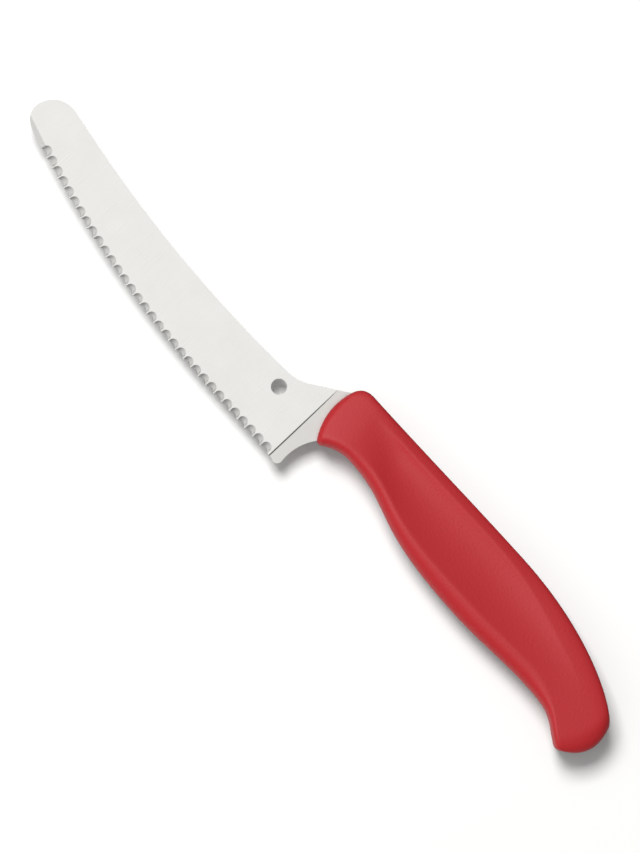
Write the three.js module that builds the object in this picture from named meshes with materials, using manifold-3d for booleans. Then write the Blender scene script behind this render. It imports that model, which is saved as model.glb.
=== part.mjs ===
// Round-nosed serrated kitchen knife: a stamped and ground steel blade, with a plastic handle moulded
// over its tang. Millimetres.
// While it is drawn, x = 0 is the front of the handle, -x runs to the nose of the blade and +x to the
// butt, y = 0 is the middle line of the tang, +y is the back, -y the cutting edge, and z = 0 is the
// middle plane of the steel. +z is the side that the teeth are ground on.
import * as THREE from 'three';
import { mergeVertices } from 'three/addons/utils/BufferGeometryUtils.js';
import Module from 'manifold-3d';

const wasm = await Module();
wasm.setup();

// Blade outline
const BLADE_LENGTH = 107.8; // front of the handle to the nose
const BLADE_WIDTH = 16.85; // spine at its lowest to the line of the tooth tips
const SPINE_DROP = 2.2; // lowest point of the spine, below the tang's middle line
const SPINE_LOW_SETBACK = 39.5; // that point, ahead of the handle
const SPINE_RADIUS = 360; // hollow curve of the spine
const EDGE_RADIUS = 290; // bow of the cutting edge towards the nose
const HEEL_STRAIGHT = 24; // straight edge behind that bow
const NOSE_RADIUS = 6.9; // round nose, running into the spine
const NOSE_CORNER = 5.3; // rounded lower corner of the nose, along the blade
const NOSE_EASE = 2.7; // how far that corner keeps its end directions
const RAMP_ANGLE = THREE.MathUtils.degToRad(35.6); // rise of the spine to the handle
const RAMP_RISE = 6.86; // top of that ramp at the front of the handle
const RAMP_FILLET = 12;
const HOLE_DIAMETER = 4.1;
const HOLE_SETBACK = 13.2; // ahead of the handle
const HOLE_DROP = 5.5; // below the tang's middle line

// Ricasso, the short unground stretch ahead of the handle, and its finger notch
const RICASSO_LENGTH = 2.25; // along the back
const CHIN_RADIUS = 1.45; // rounded lower end of the ricasso
const CHIN_OVERHANG = 0.35; // how far it stands below the tooth tips
const CHOIL_RADIUS = 14; // notch between the ricasso and the handle
const CHOIL_DEPTH = 1.15; // foremost point of the notch, behind the handle's front
const CHOIL_DROP = 15.3; // that point, below the tang's middle line

// Steel thickness and grinding
const STOCK = 1.5;
const EDGE_THICKNESS = 0.5; // steel left at the heel of the edge by the flat grind
const DISTAL_TAPER = 0.36; // how much the grind thins the steel from heel to nose
const PLUNGE_RADIUS = 0.35; // grinding wheel's corner where the grind stops
const PLUNGE_SLANT = THREE.MathUtils.degToRad(1.3); // lean of that line, which narrows the ricasso
const HEEL_SETBACK = 2.5; // end of the tooth row, ahead of the handle
const TOOTH_PITCH = 2.95;
const TOOTH_FLAT = 0.15; // strip of the face left between two scallops
const TOOTH_ANGLE = THREE.MathUtils.degToRad(20.5); // slope of the scallops to the far side
const TOOTH_NOTCH = 0.75; // how far the middle of a scallop notches the edge
const TOOTH_ROUND = 0.52; // depth of the round nose of the wheel's profile, below its straight sides
const PLAIN_TIP = 3.4; // edge without teeth, up to the nose's corner
const BEVEL_ANGLE = THREE.MathUtils.degToRad(22); // slope of that plain edge
const EDGE_LAND = 0.05; // steel left at the very edge of the plain stretch

// Tang, hidden in the handle
const TANG_BACK_WALL = 3.4; // plastic over the tang at the neck
const TANG_BELLY_WALL = 1.8; // plastic under the tang at the finger groove
const TANG_END_WALL = 27; // plastic behind the tang
const TANG_END_WIDTH = 8;
const TANG_CORNER = 3;
const LOCK_HOLE_DIAMETER = 5;
const LOCK_HOLE_FIRST = 20; // first lock hole, behind the handle's front
const LOCK_HOLE_PITCH = 24;
const LOCK_HOLE_MARGIN = 8; // last lock hole to the end of the tang, at least
const MOULD_GAP = 0.3; // space between the steel and the plastic on every side

// Handle outline
const HANDLE_LENGTH = 108.6;
const HANDLE_THICKNESS = 14;
const FRONT_TOP_SETBACK = 0.35; // upper end of the front face
const FRONT_TOP_RISE = 7;
const FRONT_FOOT_SETBACK = 3.3; // lower end of the front face
const FRONT_FOOT_DROP = 7.4;
const FRONT_BOW = 1.65; // how far the front face bows forward
const FRONT_BOW_LENGTH = 13; // how far behind the front the sections still bow
const FRONT_CORNER_SETBACK = 1.3; // where the lines of the front face and the back would meet
const NECK_SETBACK = 5; // back of the handle behind the front corner
const NECK_RISE = 10.65;
const CROWN_SETBACK = 61; // highest point of the back
const CROWN_RISE = 11.35;
const CROWN_EASE = 0.63; // share of the run to the butt over which the back keeps level
const BUTT_TOP_INSET = 1.1; // upper end of the butt face, ahead of the butt
const BUTT_TOP_DROP = 1.7;
const BUTT_TOP_EASE = 2.5; // how far the back keeps the direction of the butt face
const LIP_SETBACK = 4.5; // lip in front of the finger groove
const LIP_DROP = 8.3;
const LIP_END_SETBACK = 5.5; // where the rounding of the lip ends
const GROOVE_SETBACK = 13; // finger groove
const GROOVE_DROP = 4.8;
const GROOVE_ENTRY_SETBACK = 9; // where the slope from the lip would meet the groove's level
const GROOVE_EASE = 0.36; // share of the run to the swell that keeps the groove's level
const SWELL_SETBACK = 60; // palm swell
const SWELL_DROP = 11.15;
const SWELL_EASE = 0.7; // share of that run that keeps the swell's level
const WAIST_INSET = 22.6; // waist ahead of the butt hook, from the butt
const WAIST_DROP = 9.75;
const WAIST_EASE = 0.57; // share of the run to the hook that keeps the waist's level
const HOOK_INSET = 6.2; // corner of the butt hook before it is rounded, from the butt
const HOOK_DROP = 15.25;
const HOOK_ANGLE = THREE.MathUtils.degToRad(30); // slope of the hook's front
const HOOK_EASE = 0.43; // share of that run that keeps this slope
const HOOK_ROUND = 1.2; // length of the hook's front that its rounding takes
const BUTT_FOOT_INSET = 5; // lower end of the butt face, from the butt
const BUTT_FOOT_DROP = 14.2;
const BUTT_BOW = 2.75; // how far the butt face bows backward
const BUTT_BOW_LENGTH = 22; // how far ahead of the butt the sections still bow
const LEVEL_EASE = 1 / 3; // share of a gentle run that keeps level at each end

// Handle section
const BACK_ROUND = 2.3; // rounding along the back, seen from the side
const BACK_ROUND_HEIGHT = 0.8; // the same rounding, across the thickness
const BACK_BEVEL = THREE.MathUtils.degToRad(10); // its slope where it meets the scoop
const BACK_ROUND_BUTT = 4.5; // softer rounding of the back at the butt, level where it meets the side
const BACK_ROUND_BUTT_HEIGHT = 1;
const BACK_FLARE_START = 52; // where the back's rounding starts to soften, behind the handle's front
const BACK_FLARE_END = 86;
const BELLY_ROUND_NECK = 3; // rounding along the belly at the neck
const BELLY_ROUND = 4.5; // the same rounding at the palm swell
const BELLY_ROUND_BUTT = 1.4; // the same rounding at the butt hook
const BELLY_ROUND_HEIGHT = 6.2; // the same rounding, across the thickness
const BELLY_FLARE_START = 22; // where it starts to widen, behind the handle's front
const BELLY_FLARE_END = 62;
const BELLY_TAPER_START = 24; // where it starts to narrow, ahead of the butt
const BELLY_TAPER_END = 6;
const BELLY_BEVEL = THREE.MathUtils.degToRad(14);
const FRONT_ROUND = 2;
const BUTT_ROUND = 5.5; // rounding of the butt face, seen from the side
const BUTT_ROUND_HEIGHT = 3.5;
const NECK_THINNING = 1.5; // how much each side thins towards the front face
const NECK_THINNING_LENGTH = 10;
const EDGE_WALL = 0.6; // least half height of the wall left between two roundings
const LAND = 0.5; // flat strip on each crest beside the scoop
const SCOOP_DEPTH = 1.1; // shallow scoop along each side, deepest nearer the back
const SCOOP_FRONT = 8; // where the scoop starts, behind the front
const SCOOP_BUTT = 8; // where it ends, ahead of the butt
const SCOOP_EASE = 14; // length over which it deepens
const SCOOP_BUTT_EASE = 44; // length over which it runs out towards the butt

// Fineness of the curved surfaces
const CURVE_STEPS = 14;
const TOOTH_STEPS = 6;
const STATIONS = 46;
const BACK_STEPS = 5;
const BELLY_STEPS = 6;
const SCOOP_STEPS = 8;
const WELD = 1e-4; // points closer than this are one

const PASS = 5; // how far a cutter runs past what it cuts

// Points that the outlines share
const edgeY = -SPINE_DROP - BLADE_WIDTH;
const edgeCentre = new THREE.Vector2(-HEEL_SETBACK - HEEL_STRAIGHT, edgeY + EDGE_RADIUS);
const spineCentre = new THREE.Vector2(-SPINE_LOW_SETBACK, SPINE_RADIUS - SPINE_DROP);
const choilCentre = new THREE.Vector2(CHOIL_DEPTH + CHOIL_RADIUS, -CHOIL_DROP);
const tangTop = NECK_RISE - TANG_BACK_WALL;
const tangBottom = TANG_BELLY_WALL - GROOVE_DROP;
const tangEnd = HANDLE_LENGTH - TANG_END_WALL;

// Angle, at a circle's centre, of the point of the circle that lies at x on its lower side.
function lowerAngle(centre, radius, x) {
  return -Math.acos((x - centre.x) / radius);
}

// Removes points that repeat the one before them.
function distinct(points) {
  return points.filter((point, i) => point.distanceTo(points.at(i - 1)) > WELD);
}

// Circle that rounds the corner between the hollow spine and the ramp.
function rampFilletCentre() {
  const along = new THREE.Vector2(Math.cos(RAMP_ANGLE), Math.sin(RAMP_ANGLE));
  const beside = new THREE.Vector2(-along.y, along.x).multiplyScalar(RAMP_FILLET);
  const start = new THREE.Vector2(0, RAMP_RISE).add(beside);
  const fromSpine = start.clone().sub(spineCentre);
  const reach = fromSpine.dot(along);
  const inside = (SPINE_RADIUS - RAMP_FILLET) ** 2 - fromSpine.lengthSq();
  return start.addScaledVector(along, -reach - Math.sqrt(reach ** 2 + inside));
}

// Outline of the whole steel blank: spine, ramp, tang, notch, chin, edge and nose.
function blankOutline() {
  const noseX = NOSE_RADIUS - BLADE_LENGTH;
  const noseAngle = lowerAngle(spineCentre, SPINE_RADIUS + NOSE_RADIUS, noseX);
  const noseY = spineCentre.y + (SPINE_RADIUS + NOSE_RADIUS) * Math.sin(noseAngle);
  const fillet = rampFilletCentre();
  const filletAngle = fillet.clone().sub(spineCentre).angle();
  const shoulderX = (tangTop - RAMP_RISE) / Math.tan(RAMP_ANGLE);
  const tangEndTop = tangBottom + TANG_END_WIDTH;
  const choilRise = Math.min(tangBottom - choilCentre.y, CHOIL_RADIUS);
  const chinY = edgeY - CHIN_OVERHANG + CHIN_RADIUS;
  const chinTurn = Math.asin((choilCentre.y - chinY) / (CHOIL_RADIUS + CHIN_RADIUS));
  const chinX = choilCentre.x - (CHOIL_RADIUS + CHIN_RADIUS) * Math.cos(chinTurn);
  const chinEnd = -Math.PI - Math.asin((edgeY - chinY) / CHIN_RADIUS);
  const cornerX = NOSE_CORNER - BLADE_LENGTH;
  const cornerAngle = lowerAngle(edgeCentre, EDGE_RADIUS, cornerX);
  const easeX = cornerX + NOSE_EASE * Math.sin(cornerAngle);
  const easeY = edgeCentre.y + EDGE_RADIUS * Math.sin(cornerAngle) - NOSE_EASE * Math.cos(cornerAngle);

  const blank = new THREE.Shape();
  blank.absarc(spineCentre.x, spineCentre.y, SPINE_RADIUS, noseAngle, filletAngle, false);
  blank.absarc(fillet.x, fillet.y, RAMP_FILLET, filletAngle, RAMP_ANGLE - Math.PI / 2, false);
  blank.lineTo(shoulderX, tangTop);
  blank.lineTo(tangEnd - TANG_CORNER, tangEndTop);
  blank.quadraticCurveTo(tangEnd, tangEndTop, tangEnd, tangEndTop - TANG_CORNER);
  blank.lineTo(tangEnd, tangBottom + TANG_CORNER);
  blank.quadraticCurveTo(tangEnd, tangBottom, tangEnd - TANG_CORNER, tangBottom);
  blank.absarc(choilCentre.x, choilCentre.y, CHOIL_RADIUS, Math.PI - Math.asin(choilRise / CHOIL_RADIUS),
    Math.PI + chinTurn, false);
  blank.absarc(chinX, chinY, CHIN_RADIUS, chinTurn, chinEnd, true);
  blank.lineTo(edgeCentre.x, edgeY);
  blank.absarc(edgeCentre.x, edgeCentre.y, EDGE_RADIUS, -Math.PI / 2, cornerAngle, true);
  blank.bezierCurveTo(easeX, easeY, -BLADE_LENGTH, noseY - NOSE_EASE, -BLADE_LENGTH, noseY);
  blank.absarc(noseX, noseY, NOSE_RADIUS, Math.PI, noseAngle + Math.PI, true);
  return distinct(blank.getPoints(CURVE_STEPS));
}

// Moves every side of a clockwise outline outward.
function grown(outline, distance) {
  return outline.map((point, i) => {
    const along = outline[(i + 1) % outline.length].clone().sub(outline.at(i - 1)).normalize();
    return new THREE.Vector2(-along.y, along.x).multiplyScalar(distance).add(point);
  });
}

// Centres of the round holes in the tang, along its middle.
function lockHoles() {
  const room = tangEnd - LOCK_HOLE_MARGIN - LOCK_HOLE_FIRST;
  const count = Math.floor(room / LOCK_HOLE_PITCH) + 1;
  const y = tangBottom + TANG_END_WIDTH / 2;
  return Array.from({ length: count }, (_, i) => (
    new THREE.Vector2(LOCK_HOLE_FIRST + i * LOCK_HOLE_PITCH, y)));
}

// Plate of the given outline, centred on z = 0, with round holes through it.
function plate(outline, thickness, holes) {
  const shape = new THREE.Shape(outline);
  for (const { centre, diameter } of holes) {
    shape.holes.push(new THREE.Path().absarc(centre.x, centre.y, diameter / 2, 0, 2 * Math.PI));
  }
  const geometry = new THREE.ExtrudeGeometry(shape, {
    depth: thickness,
    bevelEnabled: false,
    curveSegments: CURVE_STEPS,
  });
  return geometry.translate(0, 0, -thickness / 2);
}

// Closed geometry to solid, for cutting.
function solidOf(geometry) {
  geometry.deleteAttribute('normal');
  geometry.deleteAttribute('uv');
  const joined = mergeVertices(geometry, WELD);
  return new wasm.Manifold(new wasm.Mesh({
    numProp: 3,
    vertProperties: new Float32Array(joined.attributes.position.array),
    triVerts: new Uint32Array(joined.index.array),
  }));
}

// Solid back to geometry.
function geometryOf(solid) {
  const mesh = solid.getMesh();
  const geometry = new THREE.BufferGeometry();
  geometry.setAttribute('position', new THREE.BufferAttribute(mesh.vertProperties, 3));
  geometry.setIndex(new THREE.BufferAttribute(mesh.triVerts, 1));
  geometry.computeVertexNormals();
  return geometry;
}

// Half the steel's thickness after the flat grind, a plane that leaves the stock at the top of the ramp.
const grindEndX = -RICASSO_LENGTH - PLUNGE_RADIUS;
const grindTop = RAMP_RISE + grindEndX * Math.tan(RAMP_ANGLE);
const grindSlopeX = DISTAL_TAPER / 2 / BLADE_LENGTH;
const grindSlopeY = (STOCK - EDGE_THICKNESS) / 2 / (grindTop - edgeY);
function groundHalf(x, y) {
  return STOCK / 2 + grindSlopeX * (x - grindEndX) + grindSlopeY * (y - grindTop);
}

// What the flat grind takes off one side: all above its plane, with the wheel's round corner at the end.
function grindWaste(side) {
  const profile = new THREE.Shape();
  profile.moveTo(-BLADE_LENGTH - PASS, 0);
  profile.lineTo(0, 0);
  profile.absarc(0, PLUNGE_RADIUS, PLUNGE_RADIUS, -Math.PI / 2, 0, false);
  profile.lineTo(PLUNGE_RADIUS, STOCK + PASS);
  profile.lineTo(-BLADE_LENGTH - PASS, STOCK + PASS);
  const across = grindTop - edgeY + 4 * PASS;
  const geometry = new THREE.ExtrudeGeometry(profile, {
    depth: across,
    bevelEnabled: false,
    curveSegments: CURVE_STEPS,
  });
  const along = new THREE.Vector3(Math.cos(PLUNGE_SLANT), Math.sin(PLUNGE_SLANT), 0);
  along.z = grindSlopeX * along.x + grindSlopeY * along.y;
  along.normalize();
  const up = new THREE.Vector3(-grindSlopeX, -grindSlopeY, 1).normalize();
  const over = new THREE.Vector3().crossVectors(along, up);
  const placed = new THREE.Matrix4().makeBasis(along, up, over);
  placed.setPosition(grindEndX, grindTop, STOCK / 2);
  geometry.translate(0, 0, -2 * PASS).applyMatrix4(placed);
  const waste = solidOf(geometry);
  return side > 0 ? waste : waste.mirror([0, 0, 1]);
}

// Point of the tooth line at a distance along it from the heel, on the far side of the steel, with the
// direction across the blade from there to the spine.
function edgeAt(distance) {
  const turn = Math.max(0, distance - HEEL_STRAIGHT) / EDGE_RADIUS;
  const across = new THREE.Vector3(Math.sin(turn), Math.cos(turn), 0);
  const x = edgeCentre.x + Math.max(0, HEEL_STRAIGHT - distance) - EDGE_RADIUS * across.x;
  const y = edgeCentre.y - EDGE_RADIUS * across.y;
  return { point: new THREE.Vector3(x, y, -groundHalf(x, y)), across };
}

// Axes of a cut that rises from the edge to the spine at an angle: along the edge, up the slope, off it.
function slopeAxes(across, angle) {
  const up = new THREE.Vector3(0, 0, 1);
  const rise = across.clone().multiplyScalar(Math.cos(angle)).addScaledVector(up, Math.sin(angle));
  const off = across.clone().multiplyScalar(-Math.sin(angle)).addScaledVector(up, Math.cos(angle));
  return { along: new THREE.Vector3().crossVectors(rise, off), rise, off };
}

const edgeLength = HEEL_STRAIGHT
  + EDGE_RADIUS * Math.asin((edgeCentre.x + BLADE_LENGTH - NOSE_CORNER) / EDGE_RADIUS);
const toothCount = Math.floor((edgeLength - PLAIN_TIP) / TOOTH_PITCH);

// What the wheel takes off for one tooth gap: a bar with a round nose, which runs out at the edge.
function scallopWaste(index) {
  const opening = (TOOTH_PITCH - TOOTH_FLAT) / 2;
  const profile = new THREE.Shape();
  profile.moveTo(-opening, PASS);
  profile.lineTo(-opening, TOOTH_ROUND);
  profile.absellipse(0, TOOTH_ROUND, opening, TOOTH_ROUND, Math.PI, 2 * Math.PI, false);
  profile.lineTo(opening, PASS);
  const bar = new THREE.ExtrudeGeometry(profile, {
    depth: 2 * PASS,
    bevelEnabled: false,
    curveSegments: TOOTH_STEPS,
  });
  const { point, across } = edgeAt((index + 0.5) * TOOTH_PITCH);
  const { along, rise, off } = slopeAxes(across, TOOTH_ANGLE);
  const placed = new THREE.Matrix4().makeBasis(along, off, rise.negate());
  placed.setPosition(point.addScaledVector(across, TOOTH_NOTCH));
  return solidOf(bar.translate(0, 0, -PASS).applyMatrix4(placed));
}

// What the plain bevel at the nose takes off: a block above a sloping plane, from inside the last scallop.
function bevelWaste() {
  const plain = edgeLength - toothCount * TOOTH_PITCH;
  const length = TOOTH_PITCH + plain + NOSE_CORNER + PASS;
  const { point, across } = edgeAt(edgeLength - plain / 2);
  const { along, rise, off } = slopeAxes(across, BEVEL_ANGLE);
  const block = new THREE.BoxGeometry(length, 2 * PASS, PASS);
  const placed = new THREE.Matrix4().makeBasis(along, rise, off);
  placed.setPosition(point.addScaledVector(along, (plain + TOOTH_PITCH - length) / 2)
    .addScaledVector(off, PASS / 2)
    .add(new THREE.Vector3(0, 0, EDGE_LAND)));
  return solidOf(block.applyMatrix4(placed));
}

const blankPoints = blankOutline();

// The steel: blank with its holes, ground on both sides, then toothed and bevelled on the +z side.
function blade() {
  const holes = lockHoles().map((centre) => ({ centre, diameter: LOCK_HOLE_DIAMETER }));
  holes.push({ centre: new THREE.Vector2(-HOLE_SETBACK, -HOLE_DROP), diameter: HOLE_DIAMETER });
  let steel = solidOf(plate(blankPoints, STOCK, holes));
  for (const side of [1, -1]) {
    steel = steel.subtract(grindWaste(side));
  }
  for (let i = 0; i < toothCount; i += 1) {
    steel = steel.subtract(scallopWaste(i));
  }
  return geometryOf(steel.subtract(bevelWaste()));
}

// Line of the handle's back, from the front face to the butt face.
function backLine() {
  const buttTopX = HANDLE_LENGTH - BUTT_TOP_INSET;
  const neckEase = LEVEL_EASE * (CROWN_SETBACK - NECK_SETBACK);
  const crownEase = CROWN_EASE * (buttTopX - CROWN_SETBACK);
  const line = new THREE.Path();
  line.moveTo(FRONT_TOP_SETBACK, FRONT_TOP_RISE);
  line.quadraticCurveTo(FRONT_CORNER_SETBACK, NECK_RISE, NECK_SETBACK, NECK_RISE);
  line.bezierCurveTo(NECK_SETBACK + neckEase, NECK_RISE, CROWN_SETBACK - neckEase, CROWN_RISE,
    CROWN_SETBACK, CROWN_RISE);
  line.bezierCurveTo(CROWN_SETBACK + crownEase, CROWN_RISE, buttTopX, BUTT_TOP_EASE - BUTT_TOP_DROP,
    buttTopX, -BUTT_TOP_DROP);
  return line;
}

// Line of the handle's belly, from the front face to the butt face.
function bellyLine() {
  const waistX = HANDLE_LENGTH - WAIST_INSET;
  const hookX = HANDLE_LENGTH - HOOK_INSET;
  const swellRun = SWELL_SETBACK - GROOVE_SETBACK;
  const waistEase = LEVEL_EASE * (waistX - SWELL_SETBACK);
  const hookRun = hookX - waistX;
  const slope = new THREE.Vector2(Math.cos(HOOK_ANGLE), -Math.sin(HOOK_ANGLE));
  const hookStart = new THREE.Vector2(hookX, -HOOK_DROP).addScaledVector(slope, -HOOK_ROUND);
  const hookEase = hookStart.clone().addScaledVector(slope, -HOOK_EASE * hookRun);
  const line = new THREE.Path();
  line.moveTo(FRONT_FOOT_SETBACK, -FRONT_FOOT_DROP);
  line.quadraticCurveTo(LIP_SETBACK, -LIP_DROP, LIP_END_SETBACK, -FRONT_FOOT_DROP);
  line.quadraticCurveTo(GROOVE_ENTRY_SETBACK, -GROOVE_DROP, GROOVE_SETBACK, -GROOVE_DROP);
  line.bezierCurveTo(GROOVE_SETBACK + GROOVE_EASE * swellRun, -GROOVE_DROP,
    SWELL_SETBACK - SWELL_EASE * swellRun, -SWELL_DROP, SWELL_SETBACK, -SWELL_DROP);
  line.bezierCurveTo(SWELL_SETBACK + waistEase, -SWELL_DROP, waistX - waistEase, -WAIST_DROP,
    waistX, -WAIST_DROP);
  line.bezierCurveTo(waistX + WAIST_EASE * hookRun, -WAIST_DROP, hookEase.x, hookEase.y,
    hookStart.x, hookStart.y);
  line.quadraticCurveTo(hookX, -HOOK_DROP, HANDLE_LENGTH - BUTT_FOOT_INSET, -BUTT_FOOT_DROP);
  return line;
}

// Loss of height of a rounding at a distance from the face that it starts on.
function rounding(distance, length, height) {
  const inside = Math.max(0, 1 - distance / length);
  return height * (1 - Math.sqrt(1 - inside ** 2));
}

// Points of a rounding, a quadratic curve from a steep wall up to a crest that it meets at a slope: pairs of
// distance from the wall and loss of height.
function roundingPoints(width, height, slope, steps) {
  return Array.from({ length: steps + 1 }, (_, i) => {
    const share = i / steps;
    const loss = height * (1 - share) ** 2 + 2 * width * Math.tan(slope) * share * (1 - share);
    return [width * share ** 2, loss];
  });
}

// Share of the scoop's depth at a share of its width: a cubic curve that is bent near the back and nearly
// straight near the belly.
function scoopShare(share) {
  const peak = 2 / Math.sqrt(27);
  return share * (1 - share) * (2 - share) / peak;
}

// One section of the handle's upper half: pairs of distance from the back and height, from back to belly.
function handleSection(width, fromFront, fromButt) {
  const thinning = NECK_THINNING * Math.max(0, 1 - fromFront / NECK_THINNING_LENGTH) ** 2;
  const half = HANDLE_THICKNESS / 2 - thinning
    - rounding(fromFront, FRONT_ROUND, FRONT_ROUND) - rounding(fromButt, BUTT_ROUND, BUTT_ROUND_HEIGHT);
  const { lerp, smoothstep } = THREE.MathUtils;
  const backFlare = smoothstep(fromFront, BACK_FLARE_START, BACK_FLARE_END);
  const backRound = lerp(BACK_ROUND, BACK_ROUND_BUTT, backFlare);
  const backHeight = Math.min(lerp(BACK_ROUND_HEIGHT, BACK_ROUND_BUTT_HEIGHT, backFlare), half - EDGE_WALL);
  const bellyRound = Math.min(
    lerp(BELLY_ROUND_NECK, BELLY_ROUND, smoothstep(fromFront, BELLY_FLARE_START, BELLY_FLARE_END)),
    lerp(BELLY_ROUND_BUTT, BELLY_ROUND, smoothstep(fromButt, BELLY_TAPER_END, BELLY_TAPER_START)),
  );
  const bellyHeight = Math.min(BELLY_ROUND_HEIGHT, half - EDGE_WALL);
  const scooped = smoothstep(fromFront - SCOOP_FRONT, 0, SCOOP_EASE)
    * smoothstep(fromButt - SCOOP_BUTT, 0, SCOOP_BUTT_EASE);
  const scoopStart = backRound + LAND;
  const scoopWidth = width - scoopStart - bellyRound - LAND;
  const backBevel = BACK_BEVEL * scooped * (1 - backFlare);
  const backPoints = roundingPoints(backRound, backHeight, backBevel, BACK_STEPS)
    .map(([distance, loss]) => [distance, half - loss]);
  const scoopPoints = Array.from({ length: SCOOP_STEPS + 1 }, (_, i) => {
    const share = i / SCOOP_STEPS;
    return [scoopStart + scoopWidth * share, half - SCOOP_DEPTH * scooped * scoopShare(share)];
  });
  const bellyPoints = roundingPoints(bellyRound, bellyHeight, BELLY_BEVEL * scooped, BELLY_STEPS)
    .map(([distance, loss]) => [width - distance, half - loss])
    .reverse();
  return [...backPoints, ...scoopPoints, ...bellyPoints];
}

// Ring of points round the handle at a share of its length, upper half first.
function handleRing(back, belly, share) {
  const start = back.getPoint(share);
  const across = belly.getPoint(share).sub(start);
  const width = across.length();
  across.normalize();
  const along = new THREE.Vector2(-across.y, across.x);
  const fromFront = share * HANDLE_LENGTH;
  const fromButt = HANDLE_LENGTH - fromFront;
  const bow = BUTT_BOW * Math.max(0, 1 - fromButt / BUTT_BOW_LENGTH) ** 2
    - FRONT_BOW * Math.max(0, 1 - fromFront / FRONT_BOW_LENGTH) ** 2;
  const upper = handleSection(width, fromFront, fromButt).map(([distance, height]) => {
    const spot = start.clone().addScaledVector(across, distance);
    const middle = 2 * distance / width - 1;
    spot.addScaledVector(along, bow * (1 - middle ** 2));
    return new THREE.Vector3(spot.x, spot.y, height);
  });
  const lower = upper.map((point) => new THREE.Vector3(point.x, point.y, -point.z)).reverse();
  return [...upper, ...lower];
}

// The handle without its pocket: rings joined from the front face to the butt face, closed at both ends.
function handleBody() {
  const back = backLine();
  const belly = bellyLine();
  const rings = Array.from({ length: STATIONS + 1 }, (_, i) => (
    handleRing(back, belly, (1 - Math.cos((i / STATIONS) * Math.PI)) / 2)));
  const size = rings[0].length;
  const faces = [];
  const quad = (a, b, c, d) => faces.push(a, b, c, a, c, d);
  for (let i = 0; i < STATIONS; i += 1) {
    for (let j = 0; j < size; j += 1) {
      const next = (j + 1) % size;
      quad(i * size + j, i * size + next, (i + 1) * size + next, (i + 1) * size + j);
    }
  }
  const last = STATIONS * size;
  for (let j = 0; j < size / 2 - 1; j += 1) {
    quad(j, size - 1 - j, size - 2 - j, j + 1);
    quad(last + j, last + j + 1, last + size - 2 - j, last + size - 1 - j);
  }
  const geometry = new THREE.BufferGeometry().setFromPoints(rings.flat());
  geometry.setIndex(faces);
  return geometry;
}

// The plastic: the handle's body less a pocket round the steel, with pins through the tang's holes.
function handle() {
  const pins = lockHoles().map((centre) => ({ centre, diameter: LOCK_HOLE_DIAMETER - 2 * MOULD_GAP }));
  const pocket = plate(grown(blankPoints, MOULD_GAP), STOCK + 2 * MOULD_GAP, pins);
  return geometryOf(solidOf(handleBody()).subtract(solidOf(pocket)));
}

const satinSteel = new THREE.MeshStandardMaterial({ color: 0xdcdbd6, roughness: 0.35, metalness: 1 });
const redPlastic = new THREE.MeshStandardMaterial({ color: 0xb63439, roughness: 0.55, metalness: 0 });

// Moved so that the origin is the middle of the bottom of the box round the knife, lying on its side.
const knife = new THREE.Group();
for (const [name, geometry, material] of [['blade', blade(), satinSteel], ['handle', handle(), redPlastic]]) {
  const piece = new THREE.Mesh(geometry, material);
  piece.name = name;
  knife.add(piece);
}
const box = new THREE.Box3().setFromObject(knife);
const middle = box.getCenter(new THREE.Vector3());
knife.position.set(-middle.x, -middle.y, -box.min.z);

export default knife;
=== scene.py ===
"""Round-nosed serrated kitchen knife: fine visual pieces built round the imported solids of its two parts.

The knife lies on its side. While a piece is drawn, the unit is the millimetre, x = 0 is the front of the
handle, -x runs to the nose of the blade and +x to the butt, y = 0 is the middle line of the tang, +y is the
back, and z = 0 is the middle plane of the steel. +z is the side that the teeth are ground on.
"""

import math
from types import SimpleNamespace

import bmesh
import bpy
from bpy.props import FloatProperty, FloatVectorProperty, PointerProperty
from mathutils import Matrix, Vector
from mathutils.geometry import interpolate_bezier


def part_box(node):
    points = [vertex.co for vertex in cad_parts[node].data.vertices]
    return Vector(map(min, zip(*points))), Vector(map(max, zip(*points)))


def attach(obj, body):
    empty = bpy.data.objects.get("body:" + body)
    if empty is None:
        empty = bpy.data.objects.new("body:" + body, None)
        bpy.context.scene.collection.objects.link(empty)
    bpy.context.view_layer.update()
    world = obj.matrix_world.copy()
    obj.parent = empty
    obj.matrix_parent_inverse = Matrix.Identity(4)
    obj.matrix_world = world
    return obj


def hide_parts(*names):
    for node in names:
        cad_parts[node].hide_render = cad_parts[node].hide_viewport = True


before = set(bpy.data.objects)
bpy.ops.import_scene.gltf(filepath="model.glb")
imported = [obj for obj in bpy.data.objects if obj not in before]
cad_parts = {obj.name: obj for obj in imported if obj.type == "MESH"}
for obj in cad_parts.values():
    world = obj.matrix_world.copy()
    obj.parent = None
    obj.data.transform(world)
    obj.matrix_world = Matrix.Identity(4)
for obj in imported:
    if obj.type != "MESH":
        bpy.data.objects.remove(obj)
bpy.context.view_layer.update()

bl_info = {
    "name": "Serrated Kitchen Knife",
    "version": (1, 0, 0),
    "blender": (4, 5, 0),
    "location": "3D View > Sidebar > Knife",
    "description": "Builds a ground steel blade and a moulded handle round the knife's solids",
    "category": "Object",
}

MM = 0.001
BODY = "root"

# Fineness of the drawn curves, in millimetres and radians
ARC_CHORD = 1.2
ARC_TURN = math.radians(3)
CURVE_POINTS = 40
HOLE_SIDES = 96
PLUNGE_SEGMENTS = 16
RIM_SEGMENTS = 2
TOOTH_STEPS = 24
STATIONS = 150  # sections along the handle
BACK_STEPS = 12  # steps of a section round its back
SCOOP_STEPS = 24  # across its scoop
BELLY_STEPS = 16  # and round its belly
WELD = 1e-4
PASS = 5  # how far a cutter runs past what it cuts

# Turns from one face to the next
RIM_TURN = math.radians(60)  # an edge of the steel that turns as much as this is a rim, and is eased
STEEL_CREASE = math.radians(16)  # an edge of the finished steel that turns more than this looks sharp
PLASTIC_CREASE = math.radians(35)  # the same for the plastic

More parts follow.
